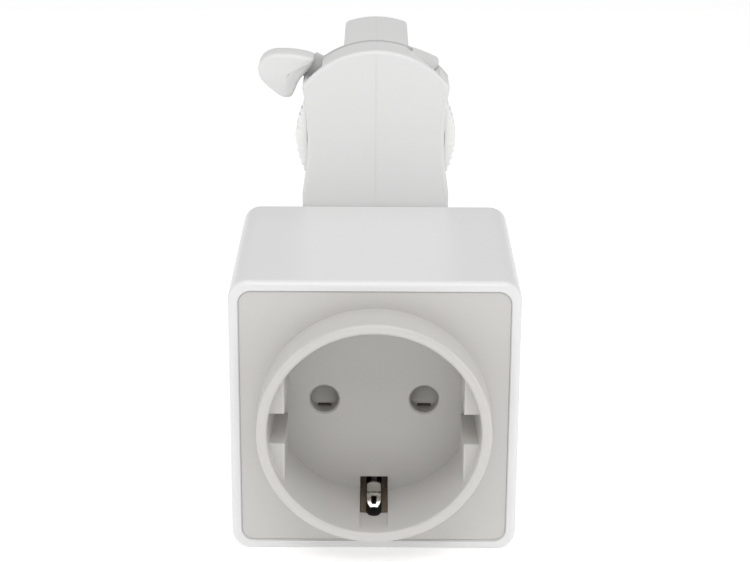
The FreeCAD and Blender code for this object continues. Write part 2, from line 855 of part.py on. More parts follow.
def adapter_outside():
    """The outer form of both adapter halves together."""
    half = s.body_half
    shank = brick("body_shank", (-half, half), (BACK, BODY_REAR), (s.body_foot, AXIS))
    foot = rounded("body_foot_corners", shank, s.foot_corner, lambda m, b: along(b, "Y") and m.z < 5)
    dome = rod("body_dome", s.dome_radius, (BACK, BODY_REAR), 0, AXIS)
    waists = [
        rod(
            f"waist_{name}",
            s.waist_radius,
            (BACK - 1, BODY_REAR + 1),
            (s.waist_half + s.waist_radius) * side,
            AXIS,
        )
        for side, name in ((-1, "left"), (1, "right"))
    ]
    outline = minus("body_outline", plus("body_sum", foot, dome), *waists)
    shoulders = rounded(
        "body_shoulders",
        outline,
        s.shoulder_round,
        lambda m, b: along(b, "Y") and m.z > AXIS.number and abs(m.x) > 10,
    )
    softened = rounded(
        "body_edges",
        shoulders,
        s.body_edge_round,
        lambda m, b: on_plane(b, "Y", BACK) or on_plane(b, "Y", BODY_REAR),
    )
    bar_half = s.insert_half
    bar = brick("insert_bar", (-bar_half, bar_half), (BODY_REAR - 1, INSERT_REAR), (s.insert_foot, AXIS + 20))
    reach = plus(
        "insert_limit",
        rod("insert_arc", s.dome_radius, (BODY_REAR - 1, INSERT_REAR), 0, AXIS),
        brick("insert_lower", (-20, 20), (BODY_REAR - 1, INSERT_REAR), (0, AXIS)),
    )
    trimmed = common("insert_trimmed", bar, reach)
    soft_bar = rounded(
        "insert_edges",
        trimmed,
        s.insert_round,
        lambda m, b: on_plane(b, "Y", INSERT_REAR) or (along(b, "Y") and abs(m.x) > 6),
    )
    return plus("adapter_outside", softened, soft_bar)


def adapter_rooms():
    """Everything that is hollow in the adapter: wheel room, lever slot, shaft holes and wiring space."""
    wall = s.body_wall
    inner = s.body_half - wall
    bar_inner = s.insert_half - s.insert_wall
    rooms = [
        rod("wheel_room", s.wheel_room, (WHEEL_LOW - s.wheel_play, WHEEL_HIGH + s.wheel_play), 0, AXIS),
        rod("lever_room", s.disc_radius + 0.3, (SLOT_FRONT, SLOT_REAR), 0, AXIS),
        sector("lever_slot", (LUG_ANGLES[1], SLOT_ANGLES[1]), s.dome_radius + 1, (SLOT_FRONT, SLOT_REAR)),
        sector("seam_slot", (SLOT_ANGLES[0], LUG_ANGLES[0]), s.dome_radius + 1, (SLOT_FRONT, SLOT_REAR)),
        rod("front_bearing", s.spindle + s.shaft_play, (BACK + 1, SLOT_REAR), 0, AXIS),
        rod("lock_bearing", s.lock_shaft + s.shaft_play, (SLOT_FRONT, BODY_REAR + 1), 0, AXIS),
        rod("rear_bearing", s.spindle + s.shaft_play, (BODY_REAR, INSERT_REAR - 1), 0, AXIS),
        brick("wiring_room", (-inner, inner), (BACK + wall, SLOT_REAR), (s.body_foot + wall, AXIS - 20)),
        brick(
            "wiring_way",
            (-bar_inner, bar_inner),
            (BODY_REAR - s.flange_thick - 1, BODY_REAR + 1),
            (s.insert_foot + s.insert_wall, AXIS - 22),
        ),
        rod("cable_entry", s.nipple + s.hole_play, (BACK - 1, BACK + wall + 1)),
    ]
    bar_low = s.insert_foot + s.insert_wall
    for name, y, low in (
        ("front", (BODY_REAR, RIB_FRONT), bar_low),
        ("rear", (RIB_REAR, INSERT_REAR - s.insert_wall), bar_low),
        ("below_rib", (RIB_FRONT - 1, RIB_REAR + 1), bar_low),
    ):
        top = AXIS - 22 if name == "below_rib" else AXIS + 19
        space = brick(f"insert_room_{name}", (-bar_inner, bar_inner), y, (low, top))
        limit = plus(
            f"insert_room_limit_{name}",
            rod(f"insert_room_arc_{name}", s.dome_radius - s.insert_wall, y, 0, AXIS),
            brick(f"insert_room_low_{name}", (-20, 20), y, (0, AXIS)),
        )
        rooms.append(common(f"insert_room_{name}_cut", space, limit))
    return rooms + contact_windows() + surface_notches()


def contact_windows():
    """Openings in the insert's sides through which the tongue and the contacts swing out."""
    side = s.insert_half + 1
    play = s.window_play
    tongue_half = s.tongue_reach + play
    bar_half = s.earth_bar_half + play
    windows = [
        brick(
            "tongue_window",
            (-side, side),
            (TONGUE_LOW - play, TONGUE_LOW + s.tongue_thick + play),
            (AXIS - tongue_half, AXIS + tongue_half),
        ),
        brick(
            "neutral_window",
            (-side, 0),
            (NEUTRAL_LOW - play, NEUTRAL_LOW + s.blade_thick + play),
            (AXIS - s.blade_reach - play, AXIS + s.neutral_window_top),
        ),
        brick(
            "earth_window",
            (-side, side),
            (BODY_REAR + 3, BODY_REAR + 5),
            (MID - bar_half, MID + bar_half),
        ),
    ]
    for step in range(3):
        low = PHASE_LOW + s.blade_step * step
        windows.append(
            brick(
                f"phase_window_{step + 1}",
                (-side, side),
                (low - play, low + s.blade_thick + play),
                (AXIS - s.phase_window, AXIS + s.phase_window),
            )
        )
    return windows


def on_ring(angle, radius):
    """A point of the plane y = 0 at an angle and a distance from the wheel's axis."""
    turn = math.radians(angle)
    return FreeCAD.Vector(float(radius) * math.cos(turn), 0, AXIS.number + float(radius) * math.sin(turn))


def slab(name, edges, y):
    """The outline of some edges in the plane y = 0, drawn out from y[0] to y[1]."""
    face = Part.Face(Part.Wire(edges)).translated(FreeCAD.Vector(0, float(y[0]), 0))
    return hand_made(name, face.extrude(FreeCAD.Vector(0, float(y[1]) - float(y[0]), 0)))


def lug():
    """The stop on the right of the dome: it rises gently out of the rim and ends in a rounded step."""
    first, last = LUG_ANGLES[0] + 0.5, LUG_ANGLES[1] - 0.5
    inner = s.wheel_room + 0.5
    root = on_ring(last, s.dome_radius)
    crest = on_ring(first + 3, s.lug_reach)
    shoulder = on_ring(first, s.dome_radius + 0.5)
    edges = [
        Part.LineSegment(on_ring(last, inner), root).toShape(),
        Part.Arc(root, on_ring((first + last) / 2, s.lug_reach - 0.45), crest).toShape(),
        Part.Arc(crest, on_ring(first + 0.8, s.lug_reach - 0.15), shoulder).toShape(),
        Part.LineSegment(shoulder, on_ring(first, inner)).toShape(),
        Part.Arc(on_ring(first, inner), on_ring((first + last) / 2, inner), on_ring(last, inner)).toShape(),
    ]
    return slab("lug", edges, (SLOT_FRONT + 0.1, BODY_REAR - 0.35))


def surface_notches():
    """Shallow cuts in the dome beside the lever's neck and the lug, and the groove along the parting line."""
    y = (BACK + s.dome_border, SLOT_FRONT + 0.1)
    outer = sector("notch_outer_left", LEFT_NOTCH_ANGLES, s.dome_radius + 1, y)
    inner = rod("notch_inner_left", s.dome_radius - s.notch_depth, y, 0, AXIS)
    low, high = LUG_POCKET_ANGLES
    pocket_corners = [
        on_ring(high, s.dome_radius),
        on_ring(low, s.dome_radius - s.notch_depth),
        on_ring(low, s.dome_radius + 1),
        on_ring(high, s.dome_radius + 1),
    ]
    pocket_edges = Part.makePolygon(pocket_corners + pocket_corners[:1]).Edges
    notches = [minus("notch_left", outer, inner), slab("lug_pocket", pocket_edges, y)]
    half, deep = s.seam_half, s.seam_depth
    notches.append(brick("seam_front", (-half, half), (BACK, BACK + deep), (0, AXIS + 19)))
    notches.append(brick("seam_rear", (-half, half), (INSERT_REAR - deep, INSERT_REAR), (0, AXIS + 19)))
    ring = minus(
        "seam_ring",
        rod("seam_ring_outer", s.dome_radius + 1, (BACK, INSERT_REAR), 0, AXIS),
        rod("seam_ring_inner", s.dome_radius - deep, (BACK, INSERT_REAR), 0, AXIS),
    )
    strip_up = brick("seam_strip", (-half, half), (BACK, INSERT_REAR), (AXIS, AXIS + 20))
    notches.append(common("seam_dome", ring, strip_up))
    return notches


def make_adapter_halves():
    """Two mirror-like mouldings that meet in the plane x = 0."""
    hollow = minus("adapter_hollow", adapter_outside(), *adapter_rooms())
    whole = plus("adapter_whole", hollow, lug())
    cross = [
        peg(f"cross_hole_{number}", s.screw, (-s.insert_half - 1, s.insert_half - 1), y, z)
        for number, (y, z) in enumerate(screw_spots(), start=1)
    ]
    sinks = [
        peg(f"cross_sink_{number}", s.screw_head, (-s.insert_half - 1, -s.insert_half + s.insert_wall), y, z)
        for number, (y, z) in enumerate(screw_spots(), start=1)
    ]
    pillars = [
        peg(f"pillar_{number}", s.pillar, (-s.insert_half + 0.5, s.insert_half - 0.5), y, z)
        for number, (y, z) in enumerate(screw_spots(), start=1)
    ]
    drilled = minus("adapter_drilled", plus("adapter_pillared", whole, *pillars), *cross, *sinks)
    reach = 25
    for side, name in ((-1, "left"), (1, "right")):
        x = sorted((0, reach * side))
        space = brick(f"{name}_side", x, (BACK - 1, INSERT_REAR + 1), (0, AXIS + 25))
        keep(f"adapter_{name}", common(f"{name}_half", drilled, space))


def screw_spots():
    """Where the screws that join the halves cross the insert, as (y, z)."""
    rear = INSERT_REAR - 5.5
    return [(rear, s.insert_foot + 6), (rear, MID + 18)]


def make_adapter_screws():
    screws = []
    for number, (y, z) in enumerate(screw_spots(), start=1):
        seat = -s.insert_half + s.insert_wall
        head = peg(f"joint_head_{number}", s.screw_head - 0.2, (-s.insert_half + 0.2, seat), y, z)
        shank = peg(f"joint_shank_{number}", s.screw, (seat, s.insert_half - 1.2), y, z)
        slot = brick(
            f"joint_slot_{number}",
            (-s.insert_half + 0.2, -s.insert_half + s.driver_slot_deep),
            (y - 3, y + 3),
            (z - s.driver_slot_half, z + s.driver_slot_half),
        )
        screws.append(minus(f"joint_screw_{number}", plus(f"joint_raw_{number}", head, shank), slot))
    keep("adapter_screws", plus("joint_screw_group", *screws))


# ---------------------------------------------------------------- thumbwheel and phase contacts


def make_selector_wheel():
    """The fluted thumbwheel."""
    wheel = body("wheel_body")
    disc = circle(sketch(wheel, "wheel_disc", "XZ", -WHEEL_HIGH, AXIS), s.wheel_radius)
    block = pad(wheel, "wheel_block", disc, s.wheel_thick)
    soften(wheel, "wheel_edges", block, 0.4, lambda m, b: True)
    bore = circle(sketch(wheel, "wheel_bore", "XZ", -WHEEL_LOW, AXIS), s.spindle)
    pocket(wheel, "wheel_hole", bore, s.wheel_thick)
    flute = circle(sketch(wheel, "wheel_flute", "XZ", -WHEEL_LOW, AXIS), 0.55, s.wheel_radius + 0.2, 0)
    first = pocket(wheel, "wheel_flute_cut", flute, s.wheel_thick)
    ring = wheel.newObject("PartDesign::PolarPattern", "wheel_flutes")
    ring.Originals = [first]
    ring.Axis = (flute, ["N_Axis"])
    ring.Angle = 360
    ring.Occurrences = FLUTES
    wheel.Tip = ring
    keep("selector_wheel", wheel)


def make_selector_shaft():
    keep("selector_shaft", rod("spindle_rod", s.spindle, (BACK + 1.1, INSERT_REAR - 1.1), 0, AXIS))


def arm(name, angle, reach, half, y):
    """A flat radial arm from the wheel's axis, rounded off at its reach."""
    bar = DOC.addObject("Part::Box", name)
    bind(bar, Length=as_size(reach) + 1, Width=y[1] - as_size(y[0]), Height=half * 2)
    offset = FreeCAD.Vector(0, 0, -float(half))
    spin = turned((0, 1, 0), -angle)
    centre = spin.multVec(offset)
    place(bar, centre.x, y[0], AXIS + centre.z, spin)
    return common(f"{name}_end", bar, rod(f"{name}_limit", reach, y, 0, AXIS))


def make_phase_blades():
    """One contact per circuit, each one step further round and deeper in the insert."""
    arms = []
    for step in range(3):
        low = PHASE_LOW + s.blade_step * step
        y = (low, low + s.blade_thick)
        arms.append(arm(f"phase_arm_{step + 1}", CIRCUIT_STEP * (step + 1), s.blade_reach, s.blade_half, y))
    sleeve_y = (RIB_REAR + 0.2, PHASE_LOW + s.blade_step * 2 + s.blade_thick + 0.6)
    sleeve = rod("phase_sleeve", s.sleeve, sleeve_y, 0, AXIS)
    bore = rod("phase_bore", s.spindle, sleeve_y, 0, AXIS)
    keep("phase_blades", minus("phase_cut", plus("phase_raw", sleeve, *arms), bore))


def make_brushes():
    """Leaves that carry the current to the turning contacts."""
    gap = 0.2
    spots = {
        "phase_brush": ((RIB_REAR, RIB_REAR + 0.6), AXIS - s.sleeve - gap),
        "neutral_brush": ((RIB_FRONT - 0.6, RIB_FRONT), AXIS - s.lock_shaft - 1 - gap),
    }
    for node, (y, top) in spots.items():
        keep(node, brick(f"{node}_leaf", (-1.6, 1.6), y, (AXIS - 21, top)))


# ---------------------------------------------------------------- lock lever


def wing_profile(owner):
    """The lever's leaf, drawn about the wheel's axis."""
    profile = sketch(owner, "wing_outline", "XZ", -DISC_HIGH, AXIS)
    inner = float(s.wing_inner)

    def spot(x, z):
        return FreeCAD.Vector(x, z, 0)

    def on_dome(angle):
        return spot(inner * math.cos(math.radians(angle)), inner * math.sin(math.radians(angle)))

    upper, tip, heel, toe = spot(-12.5, 16.2), spot(-21.2, 17.0), spot(-22.6, 11.5), spot(-19.1, 9.2)
    root = on_dome(131)
    profile.addGeometry(Part.Arc(on_dome(149), on_dome(140), root), False)
    profile.addGeometry(Part.LineSegment(root, upper), False)
    profile.addGeometry(Part.Arc(upper, spot(-17.0, 17.3), tip), False)
    profile.addGeometry(Part.Arc(tip, spot(-23.7, 14.2), heel), False)
    profile.addGeometry(Part.LineSegment(heel, toe), False)
    profile.addGeometry(Part.Arc(toe, spot(-17.3, 8.5), on_dome(149)), False)
    return profile


def make_lock_lever():
    """The disc in the slot, its neck and the wing that the thumb pushes."""
    wing = body("wing_body")
    leaf = pad(wing, "wing_leaf", wing_profile(wing), s.wing_thick)
    DOC.recompute()
    face = DISC_HIGH - s.wing_thick
    edges = [edge for edge in leaf.Shape.Edges if on_plane(edge.BoundBox, "Y", face)]
    soft_wing = hand_made("wing_soft", leaf.Shape.makeFillet(s.wing_round.number, edges))
    y = (DISC_LOW, DISC_HIGH)
    disc = rod("lever_disc", s.disc_radius, y, 0, AXIS)
    neck = sector("lever_neck", NECK_ANGLES, s.wing_inner + 0.5, y)
    bore = rod("lever_bore", s.lock_shaft, y, 0, AXIS)
    keep("lock_lever", minus("lever_cut", plus("lever_raw", soft_wing, disc, neck), bore))


def make_lock_shaft():
    """The hollow shaft with the double tongue that grips the track."""
    y = (DISC_LOW, RIB_FRONT - 0.2)
    shaft = rod("lock_tube", s.lock_shaft, y, 0, AXIS)
    bore = rod("lock_bore", s.spindle + s.shaft_play, y, 0, AXIS)
    tongue_y = (TONGUE_LOW, TONGUE_LOW + s.tongue_thick)
    arms = [
        arm(f"tongue_{number}", LOCK_TURN + 180 * number, s.tongue_reach, s.tongue_half, tongue_y)
        for number in range(2)
    ]
    keep("lock_shaft", minus("lock_cut", plus("lock_raw", shaft, *arms), bore))


def make_neutral_blade():
    """The neutral contact, clamped round the lock shaft."""
    y = (NEUTRAL_LOW, NEUTRAL_LOW + s.blade_thick)
    ring_y = (NEUTRAL_LOW - 0.8, RIB_FRONT - 0.2)
    ring = rod("neutral_ring", s.lock_shaft + 1, ring_y, 0, AXIS)
    blade = arm("neutral_arm", LOCK_TURN + 180, s.blade_reach, s.blade_half, y)
    bore = rod("neutral_bore", s.lock_shaft, ring_y, 0, AXIS)
    keep("neutral_blade", minus("neutral_cut", plus("neutral_raw", ring, blade), bore))


def make_earth_blade():
    """The earth contact across the insert, whose ends touch the track's edges."""
    y = (BODY_REAR + 3.2, BODY_REAR + 4.8)
    reach = s.insert_half + 1.2
    bar = brick("earth_bar", (-reach, reach), y, (MID - s.earth_bar_half, MID + s.earth_bar_half))
    ends = rounded("earth_bar_ends", bar, 0.6, lambda m, b: abs(m.x) > reach.number - 0.1 and along(b, "Z"))
    keep("earth_blade", ends)


# ---------------------------------------------------------------- wires


def tube_along(route, radius):
    """A round tube along a route of points, with an arc as large as its runs allow at each bend."""
    points = [FreeCAD.Vector(*[float(number) for number in point]) for point in route]
    edges = []
    start = points[0]
    for before, corner, after in zip(points, points[1:], points[2:]):
        back = (before - corner).normalize()
        ahead = (after - corner).normalize()
        set_back = 0.45 * min((before - corner).Length, (after - corner).Length)
        near, far = corner + back * set_back, corner + ahead * set_back
        half_turn = (math.pi - back.getAngle(ahead)) / 2
        arc_radius = set_back / math.tan(half_turn)
        middle_reach = arc_radius / math.cos(half_turn) - arc_radius
        middle = corner + (back + ahead).normalize() * middle_reach
        edges.append(Part.LineSegment(start, near).toShape())
        edges.append(Part.Arc(near, middle, far).toShape())
        start = far
    edges.append(Part.LineSegment(start, points[-1]).toShape())
    section = Part.Wire(Part.makeCircle(float(radius), points[0], points[1] - points[0]))
    return Part.Wire(edges).makePipeShell([section], True, True)


def make_wires():
    """The three wires from the socket's terminals, through the nipple, to the adapter's contacts."""
    ring = s.wire_ring
    low, side = ring / 2, ring * math.cos(math.radians(30))
    pin = s.pin_pitch / 2
    through = BACK_INNER - 6
    entry = BASE_REAR + 8.5
    exit_y = BODY_REAR - 6
    routes = {
        "wire_neutral": [
            (-pin, TERMINAL_REAR - 4.8, MID),
            (-pin, BASE_REAR + 4, MID),
            (-side - 1.5, entry, MID + low),
            (-side, through, MID + low),
            (-side, exit_y, MID + low),
            (-side, BODY_REAR + 1, MID + 7),
            (-1.4, RIB_FRONT - 4, AXIS - 27),
            (0, RIB_FRONT - 1.7, AXIS - 17),
        ],
        "wire_live": [
            (pin, TERMINAL_REAR - 4.8, MID),
            (pin, BASE_REAR + 4, MID),
            (side + 1.5, entry, MID + low),
            (side, through, MID + low),
            (side, exit_y, MID + low),
            (side, BODY_REAR + 1, MID + 7),
            (1.4, RIB_REAR + 2.4, AXIS - 27),
            (0, RIB_REAR + 1.7, AXIS - 17),
        ],
        "wire_earth": [
            (0, BASE_REAR + 1.7, MID - 7),
            (0, BASE_REAR + 7, MID - 7),
            (0, through - 1, MID - ring),
            (0, BODY_REAR - 4, MID - ring),
            (0, BODY_REAR + 3.1, MID - ring + 1),
        ],
    }
    for node, route in routes.items():
        keep(node, hand_made(f"{node}_tube", tube_along(route, s.wire)))


# ---------------------------------------------------------------- the whole


def check_document():
    """Stops if any object failed, or any sub-part has no sound shape."""
    DOC.recompute()
    for item in DOC.Objects:
        if "Invalid" in item.State or "Error" in item.State:
            raise RuntimeError(f"{item.Name} failed: {item.State}")
    for node, item in PARTS.items():
        if item.Shape.isNull() or not item.Shape.isValid():
            raise RuntimeError(f"{node} has no sound shape")


def write_parts():
    os.makedirs("parts", exist_ok=True)
    for node, item in PARTS.items():
        item.Shape.exportStep(f"parts/{node}.step")
        print(f"{node}: {len(item.Shape.Solids)} solid, {item.Shape.Volume:.1f} mm3")


def main():
    make_box_housing()
    make_front_plate()
    make_contact_base()
    make_contacts()
    make_earth_bracket()
    make_shutter()
    make_shutter_spring()
    make_base_screws()
    make_terminal_screws()
    make_nipple()
    make_nuts()
    make_washer()
    make_adapter_halves()
    make_adapter_screws()
    make_selector_wheel()
    make_selector_shaft()
    make_phase_blades()
    make_brushes()
    make_lock_lever()
    make_lock_shaft()
    make_neutral_blade()
    make_earth_blade()
    make_wires()
    check_document()
    write_parts()


main()
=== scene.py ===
"""The looks of a square socket outlet box on a track adapter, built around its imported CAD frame.

The box faces -Y and stands on z = 0. Sizes in this script are millimetres, turned into metres by MM.
"""

import json
import math

import bmesh
import bpy
from mathutils import Matrix, Vector


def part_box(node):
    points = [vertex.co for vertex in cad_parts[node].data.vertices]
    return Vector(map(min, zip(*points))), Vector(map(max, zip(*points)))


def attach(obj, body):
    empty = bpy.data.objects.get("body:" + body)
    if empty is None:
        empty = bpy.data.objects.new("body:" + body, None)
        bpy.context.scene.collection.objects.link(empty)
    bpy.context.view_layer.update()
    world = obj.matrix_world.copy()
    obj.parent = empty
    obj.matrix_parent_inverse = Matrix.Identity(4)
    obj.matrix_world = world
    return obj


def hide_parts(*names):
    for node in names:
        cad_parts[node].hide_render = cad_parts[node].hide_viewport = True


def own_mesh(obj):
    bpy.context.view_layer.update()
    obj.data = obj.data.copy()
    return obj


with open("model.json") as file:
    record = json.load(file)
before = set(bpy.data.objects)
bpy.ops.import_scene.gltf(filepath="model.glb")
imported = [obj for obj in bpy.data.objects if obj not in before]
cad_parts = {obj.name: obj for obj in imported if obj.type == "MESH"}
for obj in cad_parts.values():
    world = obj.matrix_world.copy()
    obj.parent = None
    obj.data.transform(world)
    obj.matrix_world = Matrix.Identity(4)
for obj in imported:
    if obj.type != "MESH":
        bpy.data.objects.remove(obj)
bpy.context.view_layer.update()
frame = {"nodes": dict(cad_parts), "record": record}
NODES = frame["nodes"]
MM = 0.001
CREASE = math.radians(38)
BEVEL_LIMIT = math.radians(50)

# ---------------------------------------------------------------- places, from the frame


def low(node):
    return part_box(node)[0] / MM


def high(node):
    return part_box(node)[1] / MM


FRONT = low("box_housing").y
MID = high("box_housing").x
RIM = low("front_plate").y
PLATE_HALF = high("front_plate").x
WELL_DEPTH = 17.5
FLOOR = RIM + WELL_DEPTH
AXIS = (high("selector_wheel").z + low("selector_wheel").z) / 2


# ---------------------------------------------------------------- materials


def new_material(name):
    """A node material, its shader and a function that adds nodes to it."""
    material = bpy.data.materials.new(name)
    material.use_nodes = True
    tree = material.node_tree
    shader = tree.nodes["Principled BSDF"]

    def add(kind, **inputs):
        node = tree.nodes.new(kind)
        for key, value in inputs.items():
            socket = node.inputs[key.replace("_", " ")]
            socket.default_value = value
        return node

    return material, shader, add


def link(material, source, target):
    material.node_tree.links.new(source, target)


def stained(add, color, dark):
    """A ramp from a darker shade of a colour up to the colour itself."""
    tint = add("ShaderNodeValToRGB")
    tint.color_ramp.elements[0].color = (*[channel * dark for channel in color], 1)
    tint.color_ramp.elements[1].color = (*color, 1)
    return tint


def plastic(name, color, roughness, grain=0.25, swirl=0.05, bump=0.03):
    """Moulded plastic: faint flow marks in the colour, uneven gloss and a fine surface texture."""
    material, shader, add = new_material(name)
    place = add("ShaderNodeTexCoord").outputs["Object"]
    flow = add("ShaderNodeTexNoise", Scale=30.0, Detail=1.0, Roughness=0.5)
    link(material, place, flow.inputs["Vector"])
    tint = stained(add, color, 1 - swirl)
    link(material, flow.outputs["Fac"], tint.inputs["Fac"])
    link(material, tint.outputs["Color"], shader.inputs["Base Color"])
    patches = add("ShaderNodeTexNoise", Scale=60.0, Detail=1.0, Roughness=0.5)
    link(material, place, patches.inputs["Vector"])
    gloss = add("ShaderNodeMapRange")
    gloss.inputs["To Min"].default_value = roughness * (1 - grain)
    gloss.inputs["To Max"].default_value = roughness * (1 + grain)
    link(material, patches.outputs["Fac"], gloss.inputs["Value"])
    link(material, gloss.outputs["Result"], shader.inputs["Roughness"])
    skin = add("ShaderNodeTexNoise", Scale=900.0, Detail=1.0, Roughness=0.5)
    link(material, place, skin.inputs["Vector"])
    relief = add("ShaderNodeBump", Strength=bump, Distance=0.00002)
    link(material, skin.outputs["Fac"], relief.inputs["Height"])
    link(material, relief.outputs["Normal"], shader.inputs["Normal"])
    shader.inputs["IOR"].default_value = 1.5
    return material


def metal(name, color, roughness):
    """Stamped or turned metal: fine drawn lines in the gloss and relief, and slightly stained colour."""
    material, shader, add = new_material(name)
    place = add("ShaderNodeTexCoord").outputs["Object"]
    mapping = add("ShaderNodeMapping")
    mapping.inputs["Scale"].default_value = (1, 1, 12)
    link(material, place, mapping.inputs["Vector"])
    lines = add("ShaderNodeTexNoise", Scale=900.0, Detail=4.0, Roughness=0.6)
    link(material, mapping.outputs["Vector"], lines.inputs["Vector"])
    stain = add("ShaderNodeTexNoise", Scale=160.0, Detail=3.0)
    link(material, place, stain.inputs["Vector"])
    tint = stained(add, color, 0.82)
    tint.color_ramp.elements[0].position = 0.35
    tint.color_ramp.elements[1].position = 0.65
    link(material, stain.outputs["Fac"], tint.inputs["Fac"])
    link(material, tint.outputs["Color"], shader.inputs["Base Color"])
    gloss = add("ShaderNodeMapRange")
    gloss.inputs["To Min"].default_value = roughness * 0.7
    gloss.inputs["To Max"].default_value = roughness * 1.4
    link(material, lines.outputs["Fac"], gloss.inputs["Value"])
    link(material, gloss.outputs["Result"], shader.inputs["Roughness"])
    relief = add("ShaderNodeBump", Strength=0.08, Distance=0.00003)
    link(material, lines.outputs["Fac"], relief.inputs["Height"])
    link(material, relief.outputs["Normal"], shader.inputs["Normal"])
    shader.inputs["Metallic"].default_value = 1.0
    return material


MATERIALS = {
    "white_plastic": plastic("white_plastic_look", (0.73, 0.73, 0.73), 0.3, grain=0.12, swirl=0.02),
    # A darker, warmer copy of the white for the front plate and its well: partly the plate's own tone, partly
    # painted shade on its front-facing faces.
    "plate_plastic": plastic("plate_plastic_shaded_look", (0.565, 0.553, 0.532), 0.3, grain=0.12, swirl=0.03),
    "adapter_plastic": plastic(
        "adapter_plastic_look", (0.70, 0.70, 0.695), 0.42, grain=0.12, swirl=0.02, bump=0.05
    ),
    "wheel_plastic": plastic("wheel_plastic_look", (0.84, 0.84, 0.83), 0.35, grain=0.12, swirl=0.02),
    "figure_ink": plastic("figure_ink_look", (0.32, 0.32, 0.31), 0.5),
    "brown_liner": plastic("brown_liner_look", (0.15, 0.115, 0.08), 0.5, grain=0.2, swirl=0.2),
    # Near black: painted shadow on the slot floor behind and under the earth clip.
    "painted_shade_liner": plastic("painted_shade_liner_look", (0.012, 0.011, 0.010), 0.5, grain=0.2, swirl=0.2),
    "grey_plastic": plastic("grey_plastic_look", (0.52, 0.505, 0.475), 0.45, bump=0.1),
    "blue_wire": plastic("blue_wire_look", (0.03, 0.09, 0.36), 0.4),
    "brown_wire": plastic("brown_wire_look", (0.10, 0.035, 0.015), 0.4),
    "green_wire": plastic("green_wire_look", (0.10, 0.33, 0.04), 0.4),
    "brass": metal("brass_look", (0.72, 0.50, 0.20), 0.25),
    "nickel": metal("nickel_look", (0.72, 0.70, 0.66), 0.2),
    "steel": metal("steel_look", (0.56, 0.56, 0.55), 0.3),
}


def dress_frame():
    """Gives each CAD node the look of its own material slot, and the front plate a greyer white, which is
    partly its own tone and partly painted shade.
    """
    for part in frame["record"]["subparts"]:
        node = NODES[part["node"]]
        for slot in node.material_slots:
            slot.material = MATERIALS[part["material_slot"]]
    # The plate's greyer white is partly painted shade.
    NODES["front_plate"].material_slots[0].material = MATERIALS["plate_plastic"]


# ---------------------------------------------------------------- mesh helpers


def new_object(name, mesh):
    """A new object in the scene."""
    piece = bpy.data.objects.new(name, mesh)
    bpy.context.scene.collection.objects.link(piece)
    return piece


def loose(name, points, faces):
    """A closed mesh, its points given in millimetres, that is not a piece yet."""
    mesh = bpy.data.meshes.new(name)
    mesh.from_pydata([Vector(point) * MM for point in points], [], faces)
    grid = bmesh.new()
    grid.from_mesh(mesh)
    bmesh.ops.recalc_face_normals(grid, faces=grid.faces)
    grid.to_mesh(mesh)
    grid.free()
    return new_object(name, mesh)


def finish_piece(piece, body, slot, look=None, stands_for=()):
    """Smooth shading up to a crease angle, a material, a place on its body, and the CAD parts it stands for
    hidden.
    """
    mesh = piece.data
    mesh.polygons.foreach_set("use_smooth", [True] * len(mesh.polygons))
    mesh.set_sharp_from_angle(angle=CREASE)
    mesh.materials.clear()
    mesh.materials.append(MATERIALS[look or slot])
    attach(piece, body)
    if stands_for:
        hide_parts(*stands_for)
    return piece


def apply_modifiers(piece):
    """Replaces a piece's mesh by what its modifiers make of it."""
    graph = bpy.context.evaluated_depsgraph_get()
    made = bpy.data.meshes.new_from_object(piece.evaluated_get(graph))
    piece.modifiers.clear()
    old = piece.data
    piece.data = made
    bpy.data.meshes.remove(old)


def joined(base, operation, *others):
    """Adds closed meshes to a piece or cuts them out of it, in one skin."""
    for number, other in enumerate(others):
        step = base.modifiers.new(f"join_{number}", "BOOLEAN")
        step.operation = operation
        step.solver = "EXACT"
        step.object = other
    apply_modifiers(base)
    for other in others:
        bpy.data.objects.remove(other)
    return base


def soften(piece, width):
    """Narrow rounded edges, applied."""
    bevel = piece.modifiers.new("edges", "BEVEL")
    bevel.width = width * MM
    bevel.segments = 2
    bevel.limit_method = "ANGLE"
    bevel.angle_limit = BEVEL_LIMIT
    apply_modifiers(piece)


def ring_faces(rings, count, closed_ends=True):
    """Quads between rings of equal count; the ends are capped, or the last ring joins the first."""
    faces = []
    for r in range(rings - 1 if closed_ends else rings):
        near, far = r * count, (r + 1) % rings * count
        for i in range(count):
            j = (i + 1) % count
            faces.append((near + i, near + j, far + j, far + i))
    if closed_ends:
        faces.append(tuple(reversed(range(count))))
        faces.append(tuple((rings - 1) * count + i for i in range(count)))
    return faces


def ring_points(profile, count, start=0.0):
    """A profile of (radius, y) turned about the axis of the lock and the selector."""
    points = []
    for radius, y in profile:
        for i in range(count):
            spot = polar(start + 360 * i / count, radius)
            points.append((spot.x, y, AXIS + spot.y))
    return points


def between(a, b, c, d, u):
    """The Catmull-Rom point at the share u from b to c."""
    square = (2 * a - 5 * b + 4 * c - d) * u * u
    cube = (3 * b - a - 3 * c + d) * u ** 3
    return 0.5 * (2 * b + (c - a) * u + square + cube)


def smooth_loop(points, per_span):
    """A closed smooth curve through some points."""
    made = []
    count = len(points)
    for i in range(count):
        near = [Vector(points[(i + k) % count]) for k in (-1, 0, 1, 2)]
        made += [between(*near, step / per_span) for step in range(per_span)]
    return made


def smooth_run(points, per_span):
    """An open smooth curve through some points, its ends included."""
    ends = [points[0]] + list(points) + [points[-1]]
    made = []
    for i in range(len(points) - 1):
        near = [Vector(ends[i + k]) for k in range(4)]
        made += [between(*near, step / per_span) for step in range(per_span)]
    return made + [Vector(points[-1])]


def polar(angle, radius):
    turn = math.radians(angle)
    return Vector((radius * math.cos(turn), radius * math.sin(turn)))


